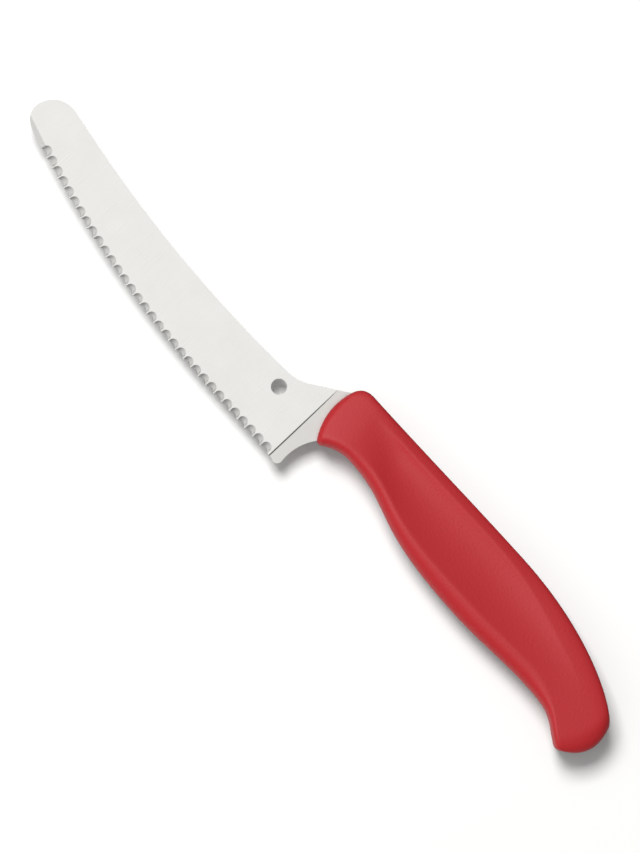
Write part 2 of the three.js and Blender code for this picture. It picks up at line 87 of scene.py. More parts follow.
# Shares of a run of the handle's outline over which it keeps the direction of that end
LEVEL_EASE = 1 / 3  # gentle runs, at both ends
CROWN_EASE = 0.63  # run from the crown to the butt
GROOVE_EASE = 0.36  # run from the groove to the swell
SWELL_EASE = 0.7  # the same run, at the swell
WAIST_EASE = 0.57  # run from the waist to the hook
HOOK_EASE = 0.43  # the same run, at the hook
SCOOP_PEAK = 2 / math.sqrt(27)  # greatest value of u(1 - u)(2 - u), the profile of the scoop

# Patterns of the finishes, with lengths in millimetres. Real brush lines and the grain of a real mould are
# too fine to show in a picture of the whole knife, so they are drawn as coarse as they need to be seen.
LINE_LENGTH = 9
LINE_DEPTH = 0.1  # as a share of the spacing of the lines
LINE_STRENGTH = 0.1
CLOUD = 7  # width of the patches of a slightly duller tone
CLOUD_TONE = 0.93  # the dullest of them, as a share of the full tone
GRAIN = 0.6  # width of a grain of the moulded surface
GRAIN_DEPTH = 0.1
GRAIN_STRENGTH = 0.6
NOISE_DETAIL = 3


def linear(hex_text):
    """Turns an sRGB colour such as #b5343a into linear red, green and blue."""
    shares = [int(hex_text[i:i + 2], 16) / 255 for i in (1, 3, 5)]
    return [s / 12.92 if s <= 0.04045 else ((s + 0.055) / 1.055) ** 2.4 for s in shares]


def length(name, millimetres, description):
    """A size for the sidebar, stored in metres."""
    return FloatProperty(name=name, description=description, default=millimetres * MM, min=0.0,
                         unit="LENGTH", precision=5)


def coordinate(name, millimetres, description):
    """A place along an axis for the sidebar, stored in metres."""
    return FloatProperty(name=name, description=description, default=millimetres * MM, unit="LENGTH",
                         precision=5)


def angle(name, degrees, description):
    """An angle for the sidebar."""
    return FloatProperty(name=name, description=description, default=math.radians(degrees), subtype="ANGLE")


def direction(name, towards, description):
    """A direction for the sidebar, away from the knife."""
    return FloatVectorProperty(name=name, description=description, default=towards, size=3,
                               subtype="DIRECTION")


def power(name, watts, description):
    """The power of a lamp for the sidebar."""
    return FloatProperty(name=name, description=description, default=watts, min=0.0, unit="POWER")


def level(name, value, description):
    """A brightness or another plain number for the sidebar."""
    return FloatProperty(name=name, description=description, default=value, min=0.0, precision=3)


def colour(name, hex_text, description):
    """A colour for the sidebar."""
    return FloatVectorProperty(name=name, description=description, default=linear(hex_text), min=0.0,
                               max=1.0, size=3, subtype="COLOR")


class KnifeBladeSettings(bpy.types.PropertyGroup):
    """Sizes and colours of the steel."""

    blade_length: length("Blade length", 107.8, "Front of the handle to the nose")
    blade_width: length("Blade width", 16.85, "Spine at its lowest to the line of the tooth tips")
    spine_drop: length("Spine drop", 2.2, "Lowest point of the spine, below the tang's middle line")
    spine_low_setback: length("Spine low point", 39.5, "Lowest point of the spine, ahead of the handle")
    spine_radius: length("Spine radius", 360, "Hollow curve of the spine")
    edge_radius: length("Edge radius", 290, "Bow of the cutting edge towards the nose")
    heel_straight: length("Heel straight", 24, "Straight edge behind that bow")
    nose_radius: length("Nose radius", 6.9, "Round nose, running into the spine")
    nose_corner: length("Nose corner", 5.3, "Rounded lower corner of the nose, along the blade")
    nose_ease: length("Nose ease", 2.7, "How far that corner keeps its end directions")
    ramp_angle: angle("Ramp angle", 35.6, "Rise of the spine to the handle")
    ramp_rise: length("Ramp rise", 6.86, "Top of that ramp at the front of the handle")
    ramp_fillet: length("Ramp fillet", 12, "Rounding between the spine and the ramp")
    hole_diameter: length("Hole diameter", 4.1, "Hanging hole")
    hole_setback: length("Hole setback", 13.2, "Hanging hole, ahead of the handle")
    hole_drop: length("Hole drop", 5.5, "Hanging hole, below the tang's middle line")
    ricasso_length: length("Ricasso length", 2.25, "Unground stretch ahead of the handle, along the back")
    chin_radius: length("Chin radius", 1.45, "Rounded lower end of the ricasso")
    chin_overhang: length("Chin overhang", 0.35, "How far the chin stands below the tooth tips")
    choil_radius: length("Choil radius", 14, "Notch between the ricasso and the handle")
    choil_depth: length("Choil depth", 1.15, "Foremost point of the notch, behind the handle's front")
    choil_drop: length("Choil drop", 15.3, "That point, below the tang's middle line")
    stock: length("Stock", 1.5, "Thickness of the steel before it is ground")
    edge_thickness: length("Edge thickness", 0.5, "Steel left at the heel of the edge by the flat grind")
    distal_taper: length("Distal taper", 0.36, "How much the grind thins the steel from heel to nose")
    plunge_radius: length("Plunge radius", 0.35, "Grinding wheel's corner where the grind stops")
    plunge_slant: angle("Plunge slant", 1.3, "Lean of that line, which narrows the ricasso")
    heel_setback: length("Heel setback", 2.5, "End of the tooth row, ahead of the handle")
    tooth_pitch: length("Tooth pitch", 2.95, "Spacing of the teeth")
    tooth_flat: length("Tooth flat", 0.15, "Strip of the face left between two scallops")
    tooth_angle: angle("Tooth angle", 20.5, "Slope of the scallops to the far side")
    tooth_notch: length("Tooth notch", 0.75, "How far the middle of a scallop notches the edge")
    tooth_round: length("Tooth rounding", 0.52, "Depth of the round nose of the wheel's profile")
    plain_tip: length("Plain tip", 3.4, "Edge without teeth, up to the nose's corner")
    bevel_angle: angle("Bevel angle", 22, "Slope of that plain edge")
    edge_land: length("Edge land", 0.05, "Steel left at the very edge of the plain stretch")
    rim_round: length("Rim rounding", 0.1, "Eased edge round the blade's outline and hole")
    tang_top: length("Tang top", 7.25, "Upper side of the tang at the neck")
    tang_bottom: length("Tang bottom", 3, "Lower side of the tang, below its middle line")
    tang_end: length("Tang end", 81.6, "End of the tang, behind the handle's front")
    tang_end_width: length("Tang end width", 8, "Width of the tang at its end")
    tang_corner: length("Tang corner", 3, "Rounded corners of the tang's end")
    lock_hole_diameter: length("Lock hole diameter", 5, "Holes that the plastic runs through")
    lock_hole_first: length("First lock hole", 20, "First lock hole, behind the handle's front")
    lock_hole_pitch: length("Lock hole pitch", 24, "Spacing of the lock holes")
    lock_hole_margin: length("Lock hole margin", 8, "Last lock hole to the end of the tang, at least")
    satin: colour("Satin steel", "#f2f1ee", "Steel of the ground faces and the nose's bevel")
    stamped: colour("Stamped steel", "#efeeea", "Duller steel of the ricasso, tang and narrow sides")
    wheel_ground: colour("Wheel-ground steel", "#efeeeb", "Coarser steel of the tooth gaps")
    # Painted shade: a dark steel that stands in for the shade in the corner where the grind stops
    painted_corner_shade: colour("Grind corner steel", "#7c7a75", "Dark corner where the grind stops")


class KnifeHandleSettings(bpy.types.PropertyGroup):
    """Sizes, colour and finish of the moulded handle."""

    handle_length: length("Handle length", 108.6, "Front of the handle to the butt")
    thickness: length("Handle thickness", 14, "Across the two sides")
    front_top_setback: length("Front top setback", 0.35, "Upper end of the front face")
    front_top_rise: length("Front top rise", 7, "Upper end of the front face, above the tang's middle line")
    front_foot_setback: length("Front foot setback", 3.3, "Lower end of the front face")
    front_foot_drop: length("Front foot drop", 7.4, "Lower end of the front face, below the middle line")
    front_bow: length("Front bow", 1.65, "How far the front face bows forward")
    front_bow_length: length("Front bow length", 13, "How far behind the front the sections still bow")
    front_corner_setback: length("Front corner", 1.3, "Where the lines of the front face and the back meet")
    neck_setback: length("Neck setback", 5, "Back of the handle behind the front corner")
    neck_rise: length("Neck rise", 10.65, "Back of the handle there, above the middle line")
    crown_setback: length("Crown setback", 61, "Highest point of the back")
    crown_rise: length("Crown rise", 11.35, "Highest point of the back, above the middle line")
    butt_top_inset: length("Butt top inset", 1.1, "Upper end of the butt face, ahead of the butt")
    butt_top_drop: length("Butt top drop", 1.7, "Upper end of the butt face, below the middle line")
    butt_top_ease: length("Butt top ease", 2.5, "How far the back keeps the direction of the butt face")
    lip_setback: length("Lip setback", 4.5, "Lip in front of the finger groove")
    lip_drop: length("Lip drop", 8.3, "Lip, below the middle line")
    lip_end_setback: length("Lip end", 5.5, "Where the rounding of the lip ends")
    groove_setback: length("Groove setback", 13, "Finger groove")
    groove_drop: length("Groove drop", 4.8, "Finger groove, below the middle line")
    groove_entry_setback: length("Groove entry", 9, "Where the slope from the lip meets the groove's level")
    swell_setback: length("Swell setback", 60, "Palm swell")
    swell_drop: length("Swell drop", 11.15, "Palm swell, below the middle line")
    waist_inset: length("Waist inset", 22.6, "Waist ahead of the butt hook, from the butt")
    waist_drop: length("Waist drop", 9.75, "Waist, below the middle line")
    hook_inset: length("Hook inset", 6.2, "Corner of the butt hook before it is rounded, from the butt")
    hook_drop: length("Hook drop", 15.25, "That corner, below the middle line")
    hook_angle: angle("Hook angle", 30, "Slope of the hook's front")
    hook_round: length("Hook rounding", 1.2, "Length of the hook's front that its rounding takes")
    butt_foot_inset: length("Butt foot inset", 5, "Lower end of the butt face, from the butt")
    butt_foot_drop: length("Butt foot drop", 14.2, "Lower end of the butt face, below the middle line")
    butt_bow: length("Butt bow", 2.75, "How far the butt face bows backward")
    butt_bow_length: length("Butt bow length", 22, "How far ahead of the butt the sections still bow")
    back_round: length("Back rounding", 2.3, "Rounding along the back, seen from the side")
    back_round_height: length("Back rounding height", 0.8, "The same rounding, across the thickness")
    back_bevel: angle("Back bevel", 10, "Its slope where it meets the scoop")
    back_round_butt: length("Back rounding at the butt", 4.5, "Softer rounding of the back at the butt")
    back_round_butt_height: length("Butt's back rounding height", 1, "That rounding, across the thickness")
    back_flare_start: length("Back flare start", 52, "Where the back's rounding starts to soften")
    back_flare_end: length("Back flare end", 86, "Where it is softest")
    belly_round_neck: length("Belly rounding at the neck", 3, "Rounding of the belly, seen from the side")
    belly_round: length("Belly rounding", 4.5, "The same rounding at the palm swell")
    belly_round_butt: length("Belly rounding at the butt", 1.4, "The same rounding at the butt hook")
    belly_round_height: length("Belly rounding height", 6.2, "The same rounding, across the thickness")
    belly_flare_start: length("Belly flare start", 22, "Where that rounding starts to widen")
    belly_flare_end: length("Belly flare end", 62, "Where it has its full width")
    belly_taper_start: length("Belly taper start", 24, "Where it starts to narrow, ahead of the butt")
    belly_taper_end: length("Belly taper end", 6, "Where it is narrowest, ahead of the butt")
    belly_bevel: angle("Belly bevel", 14, "Slope of that rounding at its crest, beside the scoop")
    front_round: length("Front rounding", 2, "Rounding of the front face")
    butt_round: length("Butt rounding", 5.5, "Rounding of the butt face, seen from the side")
    butt_round_height: length("Butt rounding height", 3.5, "The same rounding, across the thickness")
    neck_thinning: length("Neck thinning", 1.5, "How much each side thins towards the front face")
    neck_thinning_length: length("Neck thinning length", 10, "How far behind the front the sides thin")
    edge_wall: length("Edge wall", 0.6, "Least half height of the wall between two roundings")
    land: length("Land", 0.5, "Flat strip on the crests beside the scoop")
    scoop_depth: length("Scoop depth", 1.1, "Shallow scoop along each side")
    scoop_front: length("Scoop front", 8, "Where the scoop starts, behind the front")
    scoop_butt: length("Scoop butt", 8, "Where the scoop ends, ahead of the butt")
    scoop_ease: length("Scoop ease", 14, "Length over which the scoop deepens")
    scoop_butt_ease: length("Scoop butt ease", 44, "Length over which it runs out towards the butt")
    mould_gap: length("Mould gap", 0.02, "Space between the steel and the plastic")
    plastic: colour("Handle plastic", "#b01e24", "Polypropylene of the handle")
    roughness: level("Plastic roughness", 0.55, "Dullness of the moulded surface")
    specular: level("Plastic specular", 0.36, "Strength of its sheen")


class KnifeStageSettings(bpy.types.PropertyGroup):
    """Camera, floor and light."""

    view_centre_x: coordinate("View centre X", 0.97, "Middle of the picture along the knife")
    view_centre_y: coordinate("View centre Y", -0.5, "Middle of the picture across the knife")
    view_height: length("Picture height", 217.3, "Height of the picture at the blade")
    view_turn: angle("Picture turn", 48, "Turn of the knife in the picture")
    camera_distance: length("Camera distance", 1500, "Camera above the blade")
    floor_size: length("Floor size", 8000, "Side of the square floor")
    floor: colour("Floor", "#bcbcbb", "Pale matt floor")
    floor_bounce: colour("Floor bounce", "#5c5c5c", "Colour of the floor for light that it throws back")
    floor_glow: level("Floor glow", 0.08, "What the floor adds to its own brightness where it is seen")
    lamp_distance: length("Lamp distance", 1500, "Both lamps, from the middle of the knife")
    key_towards: direction("Key lamp direction", (-0.36, -0.42, 0.83), "Lamp that lights the handle")
    key_side: length("Key lamp size", 600, "Side of that square lamp")
    key_power: power("Key lamp power", 16.3, "Power of that lamp")
    top_towards: direction("Top lamp direction", (-0.4, 0.18, 0.9), "Lamp that lights the floor")
    top_side: length("Top lamp size", 550, "Side of that square lamp")
    top_power: power("Top lamp power", 37, "Power of that lamp")
    diffuser_towards: direction("Diffuser direction", (-0.4, -0.11, 1), "Bright diffuser overhead")
    diffuser_level: level("Diffuser brightness", 1.3, "Brightness of the diffuser")
    diffuser_full: level("Diffuser core", 0.93, "Cosine of the angle within which it is fully bright")
    diffuser_edge: level("Diffuser edge", 0.55, "Cosine of the angle at which it has faded to the walls")
    wall_level: level("Wall brightness", 0.25, "Brightness of the walls round the knife")


def in_millimetres(group):
    """A settings group's lengths in millimetres, with its other values as they are."""
    values = {}
    for name, field in group.bl_rna.properties.items():
        if field.type == "FLOAT":
            value = getattr(group, name)
            values[name] = value / MM if field.unit == "LENGTH" else value
    return SimpleNamespace(**values)


# Drawing


class Pen:
    """Draws an outline in the plane z = 0 with lines, arcs and curves, one after another."""

    def __init__(self, start):
        self.mesh = bmesh.new()
        self.tip = self.mesh.verts.new((*start, 0))

    def line(self, end):
        """Draws a straight line to a point."""
        grown = bmesh.ops.extrude_vert_indiv(self.mesh, verts=[self.tip])
        self.tip = grown["verts"][0]
        self.tip.co = (*end, 0)

    def arc(self, centre, turn):
        """Turns about a centre."""
        radius = (self.tip.co.xy - Vector(centre)).length
        steps = math.ceil(max(abs(turn) / ARC_TURN, abs(turn) * radius / ARC_CHORD))
        swept = bmesh.ops.spin(self.mesh, geom=[self.tip], cent=(*centre, 0), axis=(0, 0, 1), angle=turn,
                               steps=steps)
        self.tip = next(item for item in swept["geom_last"] if isinstance(item, bmesh.types.BMVert))

    def curve(self, first, second, end):
        """Draws a cubic curve."""
        for point in cubic(self.tip.co.xy, first, second, end)[1:]:
            self.line(point)

    def plate(self, thickness):
        """Closes the outline, fills it and thickens it about z = 0."""
        mesh = self.mesh
        bmesh.ops.remove_doubles(mesh, verts=mesh.verts, dist=WELD)
        filled = bmesh.ops.contextual_create(mesh, geom=mesh.edges[:])
        grown = bmesh.ops.extrude_face_region(mesh, geom=filled["faces"])
        top = [item for item in grown["geom"] if isinstance(item, bmesh.types.BMVert)]
        bmesh.ops.translate(mesh, verts=top, vec=(0, 0, thickness))
        bmesh.ops.translate(mesh, verts=mesh.verts, vec=(0, 0, -thickness / 2))
        bmesh.ops.recalc_face_normals(mesh, faces=mesh.faces)
        return mesh


def cubic(start, first, second, end):
    """A cubic curve as points."""
    return interpolate_bezier(Vector(start), Vector(first), Vector(second), Vector(end), CURVE_POINTS)


def corner(start, bend, end):
    """Handles and end of the cubic curve that rounds a corner as a quadratic curve does."""
    start, bend, end = Vector(start), Vector(bend), Vector(end)
    return start.lerp(bend, 2 / 3), end.lerp(bend, 2 / 3), end


def quadratic(start, bend, end):
    """A quadratic curve as points."""
    return cubic(start, *corner(start, bend, end))


def new_object(name, mesh, *materials):
    """Turns a drawn mesh into an object of the scene."""
    data = bpy.data.meshes.new(name)
    mesh.to_mesh(data)
    mesh.free()
    for material in materials:
        data.materials.append(material)
    piece = bpy.data.objects.new(name, data)
    bpy.context.scene.collection.objects.link(piece)
    return piece


def apply_modifiers(piece):
    """Makes the modifiers' result the piece's own mesh."""
    result = bpy.data.meshes.new_from_object(piece.evaluated_get(bpy.context.evaluated_depsgraph_get()))
    drawn = piece.data
    piece.modifiers.clear()
    piece.data = result
    bpy.data.meshes.remove(drawn)


def carve(piece, cutter, *materials):
    """Cuts a drawn shape out of a piece, and leaves the cutter's materials on the cut."""
    tool = new_object("cutter", cutter, *materials)
    cut = piece.modifiers.new("cut", "BOOLEAN")
    cut.operation = "DIFFERENCE"
    cut.solver = "EXACT"
    cut.material_mode = "TRANSFER"
    cut.object = tool
    apply_modifiers(piece)
    bpy.data.objects.remove(tool)


def rod(centre, diameter):
    """A round cutter through the steel."""
    mesh = bmesh.new()
    bmesh.ops.create_cone(mesh, cap_ends=True, segments=HOLE_SIDES, radius1=diameter / 2,
                          radius2=diameter / 2, depth=2 * PASS, matrix=Matrix.Translation((*centre, 0)))
    return mesh


def block(size, place):
    """A box cutter of the given size, at a place."""
    mesh = bmesh.new()
    bmesh.ops.create_cube(mesh, size=1, matrix=place @ Matrix.Diagonal((*size, 1)))
    return mesh


def basis(along, across, up, origin):
    """Matrix with the given axes and origin."""
    turn = Matrix((along, across, up)).transposed()
    return Matrix.Translation(origin) @ turn.to_4x4()


def finish_piece(piece, name, node, crease):
    """Sets a drawn piece in the part's frame, in metres, and gives it its finish."""
    low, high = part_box("blade")
    size = in_millimetres(bpy.context.scene.knife_blade)
    chin = size.spine_drop + size.blade_width + size.chin_overhang
    offset = Vector((low.x + size.blade_length * MM, low.y + chin * MM, (low.z + high.z) / 2))
    piece.data.transform(Matrix.Translation(offset) @ Matrix.Scale(MM, 4))
    piece.name = name
    piece.data.name = name
    piece.data.shade_smooth()
    piece.data.set_sharp_from_angle(angle=crease)
    smooth = piece.modifiers.new("weighted_normals", "WEIGHTED_NORMAL")
    smooth.keep_sharp = True
    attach(piece, BODY)
    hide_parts(node)


# Blade


def blade_points(size):
    """Points and lines that the outline and the grinding share."""
    edge_y = -size.spine_drop - size.blade_width
    grind_end = -size.ricasso_length - size.plunge_radius
    grind_top = size.ramp_rise + grind_end * math.tan(size.ramp_angle)
    return SimpleNamespace(
        edge_y=edge_y,
        grind_end=grind_end,
        grind_top=grind_top,
        spine_centre=Vector((-size.spine_low_setback, size.spine_radius - size.spine_drop)),
        edge_centre=Vector((-size.heel_setback - size.heel_straight, edge_y + size.edge_radius)),
        choil_centre=Vector((size.choil_depth + size.choil_radius, -size.choil_drop)),
        slope_x=size.distal_taper / 2 / size.blade_length,
        slope_y=(size.stock - size.edge_thickness) / 2 / (grind_top - edge_y),
    )


def polar(centre, radius, turn):
    """Point of a circle at an angle."""
    return Vector(centre) + radius * Vector((math.cos(turn), math.sin(turn)))


def ramp_fillet_centre(size, spots):
    """Centre of the circle that rounds the corner between the hollow spine and the ramp."""
    along = Vector((math.cos(size.ramp_angle), math.sin(size.ramp_angle)))
    start = Vector((0, size.ramp_rise)) + size.ramp_fillet * Vector((-along.y, along.x))
    from_spine = start - spots.spine_centre
    reach = from_spine.dot(along)
    inside = (size.spine_radius - size.ramp_fillet) ** 2 - from_spine.length_squared
    return start + along * (-reach - math.sqrt(reach ** 2 + inside))


def draw_blank(size, spots):
    """Draws the outline of the steel blank: spine, ramp, tang, notch, chin, edge and nose."""
    nose_x = size.nose_radius - size.blade_length
    nose_reach = size.spine_radius + size.nose_radius
    nose_turn = -math.acos((nose_x - spots.spine_centre.x) / nose_reach)
    nose_centre = polar(spots.spine_centre, nose_reach, nose_turn)
    fillet = ramp_fillet_centre(size, spots)
    from_spine = fillet - spots.spine_centre
    fillet_turn = math.atan2(from_spine.y, from_spine.x)
    shoulder = ((size.tang_top - size.ramp_rise) / math.tan(size.ramp_angle), size.tang_top)
    end, bottom, bend = size.tang_end, -size.tang_bottom, size.tang_corner
    end_top = bottom + size.tang_end_width
    choil_start = math.pi - math.asin((bottom - spots.choil_centre.y) / size.choil_radius)
    chin_y = spots.edge_y - size.chin_overhang + size.chin_radius
    chin_turn = math.asin((spots.choil_centre.y - chin_y) / (size.choil_radius + size.chin_radius))
    chin = polar(spots.choil_centre, size.choil_radius + size.chin_radius, math.pi + chin_turn)
    chin_end = -math.pi - math.asin((spots.edge_y - chin_y) / size.chin_radius)
    corner_x = size.nose_corner - size.blade_length
    corner_turn = -math.acos((corner_x - spots.edge_centre.x) / size.edge_radius)
    corner_point = polar(spots.edge_centre, size.edge_radius, corner_turn)
    nose_point = Vector((-size.blade_length, nose_centre.y))

    pen = Pen(polar(spots.spine_centre, size.spine_radius, nose_turn))
    pen.arc(spots.spine_centre, fillet_turn - nose_turn)
    pen.arc(fillet, size.ramp_angle - math.pi / 2 - fillet_turn)
    pen.line(shoulder)
    pen.line((end - bend, end_top))
    pen.curve(*corner((end - bend, end_top), (end, end_top), (end, end_top - bend)))
    pen.line((end, bottom + bend))
    pen.curve(*corner((end, bottom + bend), (end, bottom), (end - bend, bottom)))
    pen.line(polar(spots.choil_centre, size.choil_radius, choil_start))
    pen.arc(spots.choil_centre, math.pi + chin_turn - choil_start)
    pen.arc(chin, chin_end - chin_turn)
    pen.line((spots.edge_centre.x, spots.edge_y))
    pen.arc(spots.edge_centre, corner_turn + math.pi / 2)
    pen.curve(corner_point + size.nose_ease * Vector((math.sin(corner_turn), -math.cos(corner_turn))),
              nose_point - Vector((0, size.nose_ease)), nose_point)
    pen.arc(nose_centre, nose_turn)
    return pen


def ground_half(size, spots, x, y):
    """Half the steel's thickness after the flat grind."""
    return size.stock / 2 + spots.slope_x * (x - spots.grind_end) + spots.slope_y * (y - spots.grind_top)


def grind_cutter(size, spots, side):
    """What the flat grind takes off one side, with the wheel's round corner where the grind stops."""
    reach = size.blade_length + PASS
    # The block leans, so it runs two passes beyond the blank at the spine and at the edge
    box = (reach + size.plunge_radius, spots.grind_top - spots.edge_y + 4 * PASS, size.stock + PASS)
    start = ((size.plunge_radius - reach) / 2, 2 * PASS - box[1] / 2, box[2] / 2)
    mesh = block(box, Matrix.Translation(start))
    end_foot = [edge for edge in mesh.edges
                if all(v.co.x > 0 and v.co.z < WELD for v in edge.verts)]
    rounded = bmesh.ops.bevel(mesh, geom=end_foot, offset=size.plunge_radius, affect="EDGES",
                              segments=PLUNGE_SEGMENTS, profile=0.5, material=-1)
    # The wheel's rounded corner takes the second material, the painted shade of that corner
    for face in rounded["faces"]:
        face.material_index = 1
    along = Vector((math.cos(size.plunge_slant), math.sin(size.plunge_slant), 0))
    along.z = spots.slope_x * along.x + spots.slope_y * along.y
    along.normalize()
    up = Vector((-spots.slope_x, -spots.slope_y, 1)).normalized()
    place = basis(along, up.cross(along), up, (spots.grind_end, spots.grind_top, size.stock / 2))
    mirrored = Matrix.Diagonal((1, 1, side, 1))
    bmesh.ops.transform(mesh, verts=mesh.verts, matrix=mirrored @ place)
    bmesh.ops.recalc_face_normals(mesh, faces=mesh.faces)
    return mesh


def edge_frame(size, spots, distance):
    """Point of the tooth line at a distance from the heel, and the direction from there to the spine."""
    turn = max(0, distance - size.heel_straight) / size.edge_radius
    across = Vector((math.sin(turn), math.cos(turn), 0))
    x = spots.edge_centre.x + max(0, size.heel_straight - distance) - size.edge_radius * across.x
    y = spots.edge_centre.y - size.edge_radius * across.y
    return Vector((x, y, -ground_half(size, spots, x, y))), across


def tooth_row(size, spots):
    """Length of the cutting edge from the heel to the nose's corner, and how many teeth it takes."""
    bow = spots.edge_centre.x + size.blade_length - size.nose_corner
    edge_length = size.heel_straight + size.edge_radius * math.asin(bow / size.edge_radius)
    return edge_length, int((edge_length - size.plain_tip) // size.tooth_pitch)


def slope_axes(across, slope):
    """Axes of a cut that rises from the edge to the spine: along the edge, up the slope, off it."""
    up = Vector((0, 0, 1))
    rise = across * math.cos(slope) + up * math.sin(slope)
    off = up * math.cos(slope) - across * math.sin(slope)
    return rise.cross(off), rise, off


def tooth_cutter(size, spots, count):
    """What the wheel takes off for all the tooth gaps: for each a bar with a round nose, up the slope."""
    opening = (size.tooth_pitch - size.tooth_flat) / 2
    pen = Pen((-opening, PASS))
    for step in range(TOOTH_STEPS + 1):
        turn = math.pi * (1 + step / TOOTH_STEPS)
        pen.line((opening * math.cos(turn), size.tooth_round * (1 + math.sin(turn))))
    pen.line((opening, PASS))
    mesh = pen.plate(2 * PASS)
    bar = mesh.verts[:] + mesh.edges[:] + mesh.faces[:]
    for tooth in range(count):
        point, across = edge_frame(size, spots, (tooth + 0.5) * size.tooth_pitch)
        along, rise, off = slope_axes(across, size.tooth_angle)
        place = basis(along, off, -rise, point + across * size.tooth_notch)
        copy = bmesh.ops.duplicate(mesh, geom=bar)["geom"]
        verts = [item for item in copy if isinstance(item, bmesh.types.BMVert)]
        bmesh.ops.transform(mesh, verts=verts, matrix=place)
    bmesh.ops.delete(mesh, geom=bar, context="VERTS")
    return mesh


def tip_cutter(size, spots, edge_length, count):
    """What the plain bevel at the nose takes off: a block above a sloping plane."""
    plain = edge_length - count * size.tooth_pitch
    run = size.tooth_pitch + plain + size.nose_corner + PASS
    point, across = edge_frame(size, spots, edge_length - plain / 2)
    along, rise, off = slope_axes(across, size.bevel_angle)
    middle = point + along * (plain + size.tooth_pitch - run) / 2 + off * PASS / 2
    middle.z += size.edge_land
    return block((run, 2 * PASS, PASS), basis(along, rise, off, middle))


def ease_rims(piece, size, spots):
    """Rounds the edges of the outline and the holes, but not the cutting edge."""
    mesh = bmesh.new()
    mesh.from_mesh(piece.data)
    rims = []
    for edge in mesh.edges:
        if len(edge.link_faces) != 2 or edge.calc_face_angle() < RIM_TURN:
            continue
        middle = (edge.verts[0].co + edge.verts[1].co) / 2
        bow = math.hypot(middle.x - spots.edge_centre.x, middle.y - spots.edge_centre.y)
        straight = middle.x > spots.edge_centre.x and middle.y < spots.edge_y + size.rim_round
        bowed = middle.x <= spots.edge_centre.x and bow > size.edge_radius - size.rim_round
        if not (straight or bowed):
            rims.append(edge)
    bmesh.ops.bevel(mesh, geom=rims, offset=size.rim_round, affect="EDGES", segments=RIM_SEGMENTS,
                    profile=0.5, material=-1, clamp_overlap=True)
    mesh.to_mesh(piece.data)
    mesh.free()


def lock_holes(size):
    """Centres of the holes in the tang."""
    y = size.tang_end_width / 2 - size.tang_bottom
    room = size.tang_end - size.lock_hole_margin - size.lock_hole_first
    count = 1 + int(room // size.lock_hole_pitch)
    return [(size.lock_hole_first + i * size.lock_hole_pitch, y) for i in range(count)]


class KNIFE_OT_blade(bpy.types.Operator):
    """Build the ground and toothed steel blade with its tang"""

    bl_idname = "knife.blade"
    bl_label = "Build blade"

    def execute(self, context):
        settings = context.scene.knife_blade
        size = in_millimetres(settings)
        spots = blade_points(size)
        stamped = stamped_steel(settings)
        satin = satin_steel(settings)
        painted_corner_shade = painted_corner_shade_steel(settings)
        wheel_ground = wheel_ground_steel(settings)
        steel = new_object("blade_draft", draw_blank(size, spots).plate(size.stock), stamped)
        for side in (1, -1):
            # The corner where each grind stops gets the dark steel of the painted corner shade
            carve(steel, grind_cutter(size, spots, side), satin, painted_corner_shade)
        carve(steel, rod((-size.hole_setback, -size.hole_drop), size.hole_diameter), stamped)
        for centre in lock_holes(size):
            carve(steel, rod(centre, size.lock_hole_diameter), stamped)
        ease_rims(steel, size, spots)
        edge_length, count = tooth_row(size, spots)
        carve(steel, tooth_cutter(size, spots, count), wheel_ground)
        carve(steel, tip_cutter(size, spots, edge_length, count), satin)
        finish_piece(steel, "ground_blade", "blade", STEEL_CREASE)
        return {"FINISHED"}


# Handle


def share_points(curves, shares):
    """Points at the given shares of the length of a chain of curves."""
    chain = [point for curve in curves for point in curve]
    reached = [0.0]
    for start, end in zip(chain, chain[1:]):
        reached.append(reached[-1] + (end - start).length)
    found, index = [], 0
    for share in shares:
        target = share * reached[-1]
        while index < len(chain) - 2 and reached[index + 1] < target:
            index += 1
        step = reached[index + 1] - reached[index]
        found.append(chain[index].lerp(chain[index + 1], (target - reached[index]) / step if step else 0))
    return found


def back_line(size):
    """Line of the handle's back, from the front face to the butt face."""
    butt_top = size.handle_length - size.butt_top_inset
    neck = (size.neck_setback, size.neck_rise)
    crown = (size.crown_setback, size.crown_rise)
    neck_ease = LEVEL_EASE * (size.crown_setback - size.neck_setback)
    crown_ease = CROWN_EASE * (butt_top - size.crown_setback)
    return [
        quadratic((size.front_top_setback, size.front_top_rise),
                  (size.front_corner_setback, size.neck_rise), neck),
        cubic(neck, (size.neck_setback + neck_ease, size.neck_rise),
              (size.crown_setback - neck_ease, size.crown_rise), crown),
        cubic(crown, (size.crown_setback + crown_ease, size.crown_rise),
              (butt_top, size.butt_top_ease - size.butt_top_drop), (butt_top, -size.butt_top_drop)),
    ]


def belly_line(size):
    """Line of the handle's belly, from the front face to the butt face."""
    waist = Vector((size.handle_length - size.waist_inset, -size.waist_drop))
    hook = Vector((size.handle_length - size.hook_inset, -size.hook_drop))
    groove = Vector((size.groove_setback, -size.groove_drop))
    swell = Vector((size.swell_setback, -size.swell_drop))
    lip_end = Vector((size.lip_end_setback, -size.front_foot_drop))
    swell_run = swell.x - groove.x
    waist_ease = LEVEL_EASE * (waist.x - swell.x)
    hook_run = hook.x - waist.x
    slope = Vector((math.cos(size.hook_angle), -math.sin(size.hook_angle)))
    hook_start = hook - size.hook_round * slope
    butt_foot = (size.handle_length - size.butt_foot_inset, -size.butt_foot_drop)
    return [
        quadratic((size.front_foot_setback, -size.front_foot_drop), (size.lip_setback, -size.lip_drop),
                  lip_end),
        quadratic(lip_end, (size.groove_entry_setback, groove.y), groove),
        cubic(groove, (groove.x + GROOVE_EASE * swell_run, groove.y),
              (swell.x - SWELL_EASE * swell_run, swell.y), swell),
        cubic(swell, (swell.x + waist_ease, swell.y), (waist.x - waist_ease, waist.y), waist),
        cubic(waist, (waist.x + WAIST_EASE * hook_run, waist.y),
              hook_start - HOOK_EASE * hook_run * slope, hook_start),
        quadratic(hook_start, hook, butt_foot),
    ]


